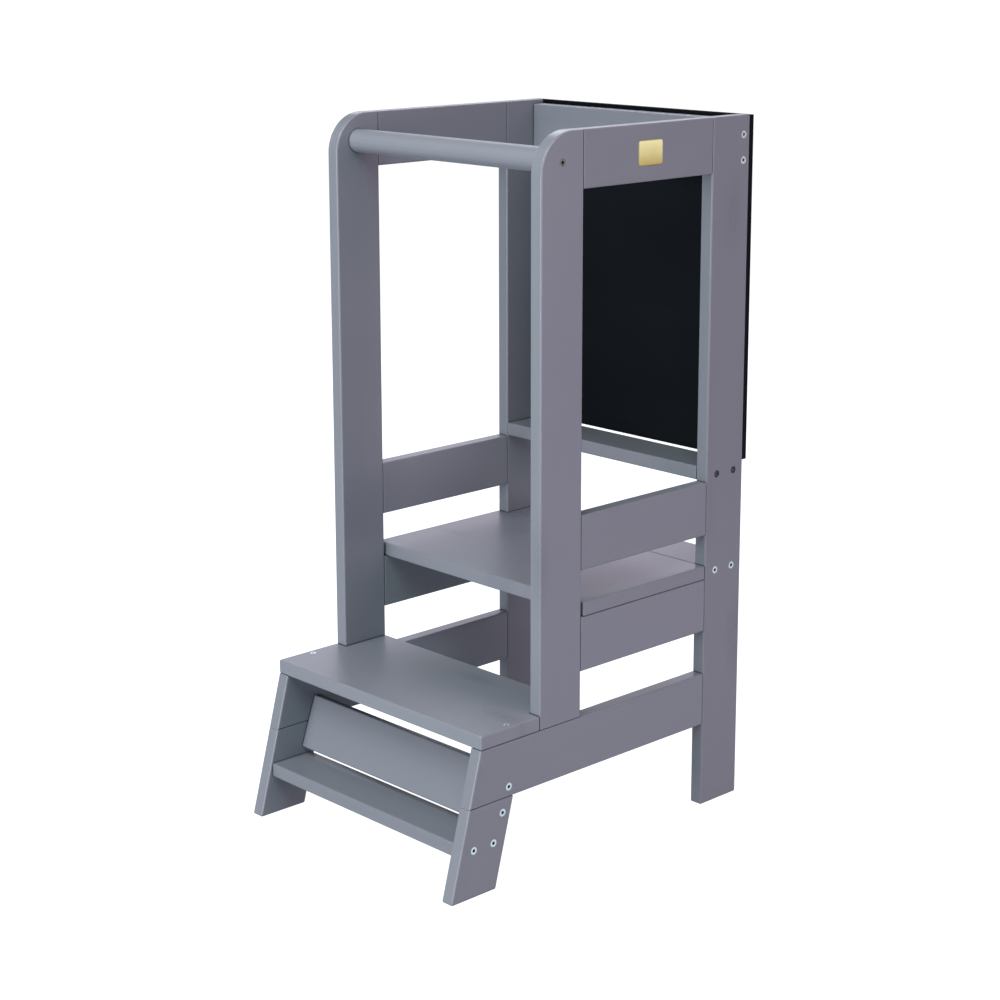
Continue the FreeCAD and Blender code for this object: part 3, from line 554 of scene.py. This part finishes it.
# Chalkboard: the slant and stretch of the wiped swathes, how far the noise in them has to rise for
# chalk to show first and fully, the streaks in them, and the matt coating
WIPE_TURN = (0, math.radians(24), 0)
WIPE_STRETCH = (2.2, 2.2, 7.0)
WIPE_SCALE = 1.3
WIPE_RISE = (0.38, 0.72)
WIPE_STREAK_STRETCH = (2.0, 2.0, 26.0)
WIPE_STREAK_SHARE = 0.7
WIPE_EVEN_SHARE = 0.4
CHALK_GLOSS = 0.12
COATING_GLOSS_SHIFT = 0.05
COATING_SPECULAR = 0.05
COATING_SCALE = 1400.0
COATING_RELIEF = 0.00002

# Zinc: its crystal bloom, and the painted light and shade down in the driver socket: within what
# reach in metres openness is looked at, and how open the surface is where the painted tone starts
# and where it is full
BLOOM_SCALE = 420.0
BLOOM_TONE = 0.88
BLOOM_GLOSS = 0.16
PAINTED_SOCKET_REACH = 0.0035
PAINTED_SOCKET_OPENNESS = (0.86, 0.34)

# Brass: its brushing, the clouds in its painted reflection, and its darker rim: how deep inside
# the rim in metres it starts and is full, and how it shows. A mark is its strength and its tone
# beside the shaded brass.
BRASS_METALLIC = 0.45
BRUSH_STRETCH = (1, 60, 5200)
BRUSH_MARK = (0.12, 0.8)
BRUSH_GLOSS = 0.12
BRUSH_RELIEF = 0.000004
CLOUD_SCALE = 60.0
CLOUD_SPREAD = 0.3
RIM_REACH = (0.0012, 0.0004)
RIM_MARK = (0.55, 0.6)

# Beech: the stretch of its flecks along X and across it, and its roughness
FLECK_STRETCH = (700, 90, 90)
FLECK_GLOSS = 0.1
BEECH_ROUGHNESS = 0.55


def chalkboard_material():
    """Matt black board coating with the ghost of wiped chalk."""
    settings = bpy.context.scene.stool_board
    material, tree, shader = new_material("chalkboard_black")
    place = object_place(tree)
    # Wiping leaves broad slanting swathes with finer streaks in them
    wiped = mapped(tree, place, rotation=WIPE_TURN, scale=WIPE_STRETCH)
    swathe = noise(tree, wiped, WIPE_SCALE, detail=3.0, roughness=0.55)
    fine = mapped(tree, wiped, scale=WIPE_STREAK_STRETCH)
    streak = noise(tree, fine, detail=3.0, roughness=0.6)
    streaks = maths(tree, "MULTIPLY_ADD", streak, WIPE_STREAK_SHARE, WIPE_EVEN_SHARE)
    chalk = maths(tree, "MULTIPLY", ramp(tree, swathe, *WIPE_RISE), streaks)
    put(tree, shader.inputs["Base Color"], mixed(tree, chalk, settings.colour, settings.haze))
    base_gloss = settings.roughness - COATING_GLOSS_SHIFT
    gloss = maths(tree, "MULTIPLY_ADD", chalk, CHALK_GLOSS, base_gloss)
    put(tree, shader.inputs["Roughness"], gloss)
    shader.inputs["Specular IOR Level"].default_value = COATING_SPECULAR
    grain = noise(tree, place, COATING_SCALE)
    put(tree, shader.inputs["Normal"], bump(tree, grain, COATING_RELIEF))
    return material


def zinc_material(name, lightness, socket, satin):
    """Zinc plating with a fine crystal bloom, and a painted tone down in the driver socket:
    painted shade, or a painted highlight.
    """
    settings = bpy.context.scene.stool_metal
    plating = shade(settings.zinc, lightness)
    roughness = settings.satin_roughness if satin else settings.zinc_roughness
    material, tree, shader = new_material(name)
    shader.inputs["Metallic"].default_value = 1.0
    bloom = noise(tree, object_place(tree), BLOOM_SCALE, detail=3.0)
    colour = mixed(tree, bloom, shade(plating, BLOOM_TONE), plating)
    # Painted light down in the socket: painted shade, or a painted highlight where the socket tone
    # is bright
    painted_socket_light = ramp(tree, openness(tree, PAINTED_SOCKET_REACH), *PAINTED_SOCKET_OPENNESS)
    colour = mixed(tree, painted_socket_light, colour, shade(settings.zinc, socket))
    put(tree, shader.inputs["Base Color"], colour)
    put(tree, shader.inputs["Roughness"], varied(tree, bloom, BLOOM_GLOSS, roughness))
    return material


def brass_material():
    """Satin brass, brushed from side to side, with a painted reflection that is lighter upwards
    and darker downwards, and darker along its rim.
    """
    settings = bpy.context.scene.stool_metal
    material, tree, shader = new_material("satin_brass")
    shader.inputs["Metallic"].default_value = BRASS_METALLIC
    place = object_place(tree)
    brushed = noise(tree, mapped(tree, place, scale=BRUSH_STRETCH))
    cloud = noise(tree, place, CLOUD_SCALE)
    parts = tree.nodes.new("ShaderNodeSeparateXYZ")
    put(tree, parts.inputs[0], place)

    # Painted reflection: the higher on the plate, the brighter, with an uneven change
    low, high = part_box("blank_plate")
    height = ramp(tree, parts.outputs["Z"], low[2], high[2])
    bright = maths(tree, "ADD", height, varied(tree, cloud, CLOUD_SPREAD))
    colour = mixed(tree, bright, settings.shaded_brass, settings.brass)

    # How deep inside the rim a place is: the smaller of its depths in Y and Z
    depths = []
    for axis, at in ((1, parts.outputs["Y"]), (2, parts.outputs["Z"])):
        middle, half = (low[axis] + high[axis]) / 2, (high[axis] - low[axis]) / 2
        off_middle = maths(tree, "ABSOLUTE", maths(tree, "SUBTRACT", at, middle))
        depths.append(maths(tree, "SUBTRACT", half, off_middle))
    rim = ramp(tree, maths(tree, "MINIMUM", *depths), *RIM_REACH)
    colour = marked(tree, colour, rim, RIM_MARK, settings.shaded_brass)
    colour = marked(tree, colour, brushed, BRUSH_MARK, settings.shaded_brass)
    put(tree, shader.inputs["Base Color"], colour)
    gloss = varied(tree, brushed, BRUSH_GLOSS, settings.brass_roughness)
    put(tree, shader.inputs["Roughness"], gloss)
    put(tree, shader.inputs["Normal"], bump(tree, brushed, BRUSH_RELIEF))
    return material


def beech_material():
    """Bare beech for the dowels, with its short dark flecks."""
    settings = bpy.context.scene.stool_dowels
    material, tree, shader = new_material("bare_beech")
    fleck = noise(tree, mapped(tree, object_place(tree), scale=FLECK_STRETCH), detail=3.0)
    put(tree, shader.inputs["Base Color"], mixed(tree, fleck, settings.fleck, settings.pale))
    gloss = maths(tree, "MULTIPLY_ADD", fleck, FLECK_GLOSS, BEECH_ROUGHNESS)
    put(tree, shader.inputs["Roughness"], gloss)
    return material


# ------------------------------------------------------------------ the bare plate

# Into how many pieces each rounding of the plate is divided
CORNER_STEPS = 8
BEVEL_STEPS = 4


def rounded_outline(low, high, radius, inset):
    """Points round a rectangle with rounded corners, drawn in from its outline by an inset."""
    reach = radius - inset
    corners = ((high[0], high[1]), (low[0], high[1]), (low[0], low[1]), (high[0], low[1]))
    points = []
    for quarter, (u, v) in enumerate(corners):
        middle_u = u - math.copysign(radius, u - (low[0] + high[0]) / 2)
        middle_v = v - math.copysign(radius, v - (low[1] + high[1]) / 2)
        for step in range(CORNER_STEPS + 1):
            angle = math.radians(90 * quarter + 90 * step / CORNER_STEPS)
            points.append((middle_u + reach * math.cos(angle), middle_v + reach * math.sin(angle)))
    return points


def plate_mesh():
    """The bare plate with a softly rounded front edge, in the place of its CAD node."""
    settings = bpy.context.scene.stool_metal
    low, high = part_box("blank_plate")
    bevel = settings.plate_bevel
    # Outlines from the back edge round the front one: how far out each lies, and its inset
    rings = [(low[0], 0.0)]
    for step in range(BEVEL_STEPS + 1):
        angle = math.radians(90 * step / BEVEL_STEPS)
        rings.append((high[0] - bevel * (1 - math.sin(angle)), bevel * (1 - math.cos(angle))))
    shape = bmesh.new()
    loops = []
    for x, inset in rings:
        outline = rounded_outline(low[1:], high[1:], settings.plate_corner, inset)
        loops.append([shape.verts.new((x, y, z)) for y, z in outline])
    for outer, inner in zip(loops, loops[1:]):
        for at in range(len(outer)):
            after = (at + 1) % len(outer)
            shape.faces.new((outer[at], outer[after], inner[after], inner[at]))
    front = shape.faces.new(loops[-1])
    back = shape.faces.new(reversed(loops[0]))
    for face in shape.faces:
        face.smooth = face not in (front, back)
    bmesh.ops.recalc_face_normals(shape, faces=shape.faces)
    mesh = bpy.data.meshes.new("bare_plate")
    shape.to_mesh(mesh)
    shape.free()
    return mesh


# ------------------------------------------------------------------ operators


class HELPERSTOOL_OT_posts(bpy.types.Operator):
    """Paint the front and back posts of both side frames"""

    bl_idname = "helperstool.posts"
    bl_label = "Posts"

    def execute(self, context):
        paint_pair("front_post", ALONG_Z)
        paint_pair("back_post", ALONG_Z)
        return {"FINISHED"}


class HELPERSTOOL_OT_side_rails(bpy.types.Operator):
    """Paint the top, guard, platform and bottom rails of both side frames"""

    bl_idname = "helperstool.side_rails"
    bl_label = "Side rails"

    def execute(self, context):
        for rail in ("top_rail", "guard_rail", "platform_rail", "bottom_rail"):
            paint_pair(rail, ALONG_Y)
        return {"FINISHED"}


class HELPERSTOOL_OT_front_legs(bpy.types.Operator):
    """Paint the leaning front legs"""

    bl_idname = "helperstool.front_legs"
    bl_label = "Front legs"

    def execute(self, context):
        paint_pair("front_leg", ALONG_LEG)
        return {"FINISHED"}


class HELPERSTOOL_OT_grab_bar(bpy.types.Operator):
    """Paint the round grab bar"""

    bl_idname = "helperstool.grab_bar"
    bl_label = "Grab bar"

    def execute(self, context):
        paint_board("handle_bar", ALONG_X, softness=BAR_SOFTNESS)
        return {"FINISHED"}


class HELPERSTOOL_OT_steps(bpy.types.Operator):
    """Paint the upper tread, the kick board and the lower step"""

    bl_idname = "helperstool.steps"
    bl_label = "Steps"

    def execute(self, context):
        for board in ("upper_tread", "kick_board", "lower_step"):
            paint_board(board, ALONG_X)
        return {"FINISHED"}


class HELPERSTOOL_OT_platform(bpy.types.Operator):
    """Paint the platform and the cross board behind it"""

    bl_idname = "helperstool.platform"
    bl_label = "Platform"

    def execute(self, context):
        for board in ("platform_board", "rear_cross_board"):
            paint_board(board, ALONG_X)
        return {"FINISHED"}


class HELPERSTOOL_OT_back_boards(bpy.types.Operator):
    """Paint the chalk tray and the back's top rail"""

    bl_idname = "helperstool.back_boards"
    bl_label = "Back boards"

    def execute(self, context):
        for board in ("chalk_tray", "back_top_rail"):
            paint_board(board, ALONG_X)
        return {"FINISHED"}


class HELPERSTOOL_OT_chalkboard(bpy.types.Operator):
    """Coat the chalkboard"""

    bl_idname = "helperstool.chalkboard"
    bl_label = "Chalkboard"

    def execute(self, context):
        dress("chalkboard", chalkboard_material())
        return {"FINISHED"}


class HELPERSTOOL_OT_bolts_and_screws(bpy.types.Operator):
    """Plate the connector bolts, the tread screws and the chalkboard's screws"""

    bl_idname = "helperstool.bolts_and_screws"
    bl_label = "Bolts and screws"

    def execute(self, context):
        for name in NODES:
            if name.endswith(("_bolts", "_screws")):
                dress(name, zinc_material(f"{name}_zinc", *PLATING_AND_PAINTED_LIGHT.get(name, BRIGHT)))
        return {"FINISHED"}


class HELPERSTOOL_OT_plate(bpy.types.Operator):
    """Make the bare brass plate on the right top rail"""

    bl_idname = "helperstool.plate"
    bl_label = "Plate"

    def execute(self, context):
        brass = brass_material()
        dress("blank_plate", brass)
        plate = bpy.data.objects.new("bare_plate", plate_mesh())
        plate.data.materials.append(brass)
        context.scene.collection.objects.link(plate)
        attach(plate, "root")
        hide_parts("blank_plate")
        return {"FINISHED"}


class HELPERSTOOL_OT_dowels(bpy.types.Operator):
    """Finish the dowels inside the joints"""

    bl_idname = "helperstool.dowels"
    bl_label = "Dowels"

    def execute(self, context):
        beech = beech_material()
        for name in NODES:
            if name.endswith("_dowels"):
                dress(name, beech)
        return {"FINISHED"}


# ------------------------------------------------------------------ stage

# Each softbox of the light settings: its place, width and height
SOFTBOXES = {
    "high_front": ((-0.2, -2.0, 2.9), 1.8, 1.8),
    "high_right": ((2.2, 0.0, 2.7), 1.8, 1.8),
    "high_front_right": ((1.6, -1.6, 2.8), 1.6, 1.6),
    "high_back_left": ((-1.8, 1.8, 2.7), 1.6, 1.6),
    "front": ((-0.3, -3.3, 1.3), 2.0, 1.8),
    "low_front": ((0.2, -3.3, 0.5), 2.0, 0.9),
    "right": ((3.3, 0.6, 1.3), 2.0, 1.8),
    "low_right": ((3.3, 0.3, 0.45), 2.0, 0.8),
    "left": ((-3.3, 0.2, 1.3), 2.0, 1.8),
    "back": ((0.0, 3.3, 1.4), 2.0, 1.8),
    "back_left": ((-2.6, 2.4, 1.6), 1.8, 1.8),
    "low_back_left": ((-2.6, 2.4, 0.6), 1.8, 0.9),
}
# The middle of the stool, where the softboxes aim
AIM = (0.0, 0.0, 0.45)

# Half the floor's width, its colour in the light that it throws back, and how far from the stool
# its near painted glow in reflections ends and its far glow begins
FLOOR_HALF = 60.0
FLOOR_COLOUR = (0.20, 0.245, 0.29, 1)
FLOOR_ROUGHNESS = 0.9
SHEEN_REACH = (1.2, 2.8)
# How bright the floor and the surroundings are in the picture: a little over plain white
WHITE_STRENGTH = 1.05

# Width of the camera's sensor in millimetres
SENSOR_WIDTH = 36


def soft_light(name, place, width, height, power):
    """A rectangular softbox aimed at the middle of the stool."""
    data = bpy.data.lights.new(f"{name}_softbox", "AREA")
    data.shape = "RECTANGLE"
    data.size = width
    data.size_y = height
    peak = max(power)
    data.energy = peak
    data.color = tuple(channel / peak for channel in power)
    light = bpy.data.objects.new(f"{name}_softbox", data)
    light.location = place
    aim = Vector(AIM) - Vector(place)
    light.rotation_euler = aim.to_track_quat("-Z", "Y").to_euler()
    bpy.context.scene.collection.objects.link(light)


def floor(near_sheen, far_sheen):
    """A wide plain floor, evenly white in the picture, with a painted glow that shows only in
    reflections and is brightest near the stool.
    """
    mesh = bpy.data.meshes.new("studio_floor")
    corners = [(-1, -1), (1, -1), (1, 1), (-1, 1)]
    mesh.from_pydata([(x * FLOOR_HALF, y * FLOOR_HALF, 0) for x, y in corners], [], [(0, 1, 2, 3)])
    plane = bpy.data.objects.new("studio_floor", mesh)
    bpy.context.scene.collection.objects.link(plane)
    material, tree, shader = new_material("studio_white")
    shader.inputs["Base Color"].default_value = FLOOR_COLOUR
    shader.inputs["Roughness"].default_value = FLOOR_ROUGHNESS
    shader.inputs["Specular IOR Level"].default_value = 0.0
    shader.inputs["Emission Color"].default_value = (1, 1, 1, 1)
    ray = tree.nodes.new("ShaderNodeLightPath")
    away = vector_maths(tree, "LENGTH", object_place(tree))
    # Painted glow: the floor glows only in reflections, most near the stool
    sheen = ramp(tree, away, *SHEEN_REACH, near_sheen, far_sheen)
    sheen = maths(tree, "MULTIPLY", sheen, ray.outputs["Is Glossy Ray"])
    white = maths(tree, "MULTIPLY_ADD", ray.outputs["Is Camera Ray"], WHITE_STRENGTH, sheen)
    put(tree, shader.inputs["Emission Strength"], white)
    mesh.materials.append(material)
    plane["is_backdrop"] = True


def studio_air():
    """White surroundings beyond the floor, which throw no light."""
    world = bpy.data.worlds.new("studio_air")
    world.use_nodes = True
    tree = world.node_tree
    background = tree.nodes["Background"]
    background.inputs["Color"].default_value = (1, 1, 1, 1)
    ray = tree.nodes.new("ShaderNodeLightPath")
    white = maths(tree, "MULTIPLY", ray.outputs["Is Camera Ray"], WHITE_STRENGTH)
    put(tree, background.inputs["Strength"], white)
    bpy.context.scene.world = world


def camera(settings):
    """The camera at the photograph's place and angle."""
    yaw, pitch, roll = settings.yaw, settings.pitch, settings.roll
    reach = math.cos(pitch)
    forward = Vector((-math.sin(yaw) * reach, math.cos(yaw) * reach, math.sin(pitch)))
    level = Vector((math.cos(yaw), math.sin(yaw), 0.0))
    above = level.cross(forward)
    right = math.cos(roll) * level + math.sin(roll) * above
    up = math.cos(roll) * above - math.sin(roll) * level
    data = bpy.data.cameras.new("photo_camera")
    data.sensor_width = SENSOR_WIDTH
    data.lens = settings.focal * data.sensor_width
    data.shift_x = 0.5 - settings.centre[0]
    data.shift_y = settings.centre[1] - 0.5
    eye = bpy.data.objects.new("photo_camera", data)
    turn = Matrix((right, up, -forward)).transposed().to_4x4()
    eye.matrix_world = Matrix.Translation(settings.place) @ turn
    bpy.context.scene.collection.objects.link(eye)
    bpy.context.scene.camera = eye


class HELPERSTOOL_OT_stage(bpy.types.Operator):
    """Set up the floor, the soft lights and the camera"""

    bl_idname = "helperstool.stage"
    bl_label = "Studio stage"

    def execute(self, context):
        scene = context.scene
        scene.view_settings.view_transform = "Standard"
        studio_air()
        lights = scene.stool_lights
        for name, (place, width, height) in SOFTBOXES.items():
            soft_light(name, place, width, height, getattr(lights, name))
        floor(lights.near_sheen, lights.far_sheen)
        camera(scene.stool_camera)
        return {"FINISHED"}


# ------------------------------------------------------------------ panel


class HELPERSTOOL_PT_panel(bpy.types.Panel):
    """Lists the stool's pieces and their settings"""

    bl_label = "Helper stool"
    bl_idname = "HELPERSTOOL_PT_panel"
    bl_space_type = "VIEW_3D"
    bl_region_type = "UI"
    bl_category = "Helper stool"

    def draw(self, context):
        layout = self.layout
        for operator in OPERATORS:
            layout.operator(operator.bl_idname)
        for name in SETTINGS:
            settings = getattr(context.scene, name)
            box = layout.box()
            for key in settings.__annotations__:
                box.prop(settings, key)


SETTINGS = {
    "stool_paint": StoolPaint,
    "stool_metal": StoolMetal,
    "stool_board": StoolBoard,
    "stool_dowels": StoolDowels,
    "stool_lights": StoolLights,
    "stool_camera": StoolCamera,
}
OPERATORS = (
    HELPERSTOOL_OT_posts,
    HELPERSTOOL_OT_side_rails,
    HELPERSTOOL_OT_front_legs,
    HELPERSTOOL_OT_grab_bar,
    HELPERSTOOL_OT_steps,
    HELPERSTOOL_OT_platform,
    HELPERSTOOL_OT_back_boards,
    HELPERSTOOL_OT_chalkboard,
    HELPERSTOOL_OT_bolts_and_screws,
    HELPERSTOOL_OT_plate,
    HELPERSTOOL_OT_dowels,
    HELPERSTOOL_OT_stage,
)


def register():
    """Make the classes known to Blender and give the scene its settings."""
    for cls in (*SETTINGS.values(), *OPERATORS, HELPERSTOOL_PT_panel):
        bpy.utils.register_class(cls)
    for name, cls in SETTINGS.items():
        setattr(bpy.types.Scene, name, PointerProperty(type=cls))


def unregister():
    """Take the settings and the classes out again."""
    for name in SETTINGS:
        delattr(bpy.types.Scene, name)
    for cls in reversed((*SETTINGS.values(), *OPERATORS, HELPERSTOOL_PT_panel)):
        bpy.utils.unregister_class(cls)


def main():
    """Dress the stool piece by piece, then measure its bounds."""
    register()
    for operator in OPERATORS:
        group, name = operator.bl_idname.split(".")
        getattr(getattr(bpy.ops, group), name)()
    boxes = {"cad": cad_box, "scene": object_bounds()}
    boxes = {name: [list(corner) for corner in box] for name, box in boxes.items()}


if __name__ == "__main__":
    main()
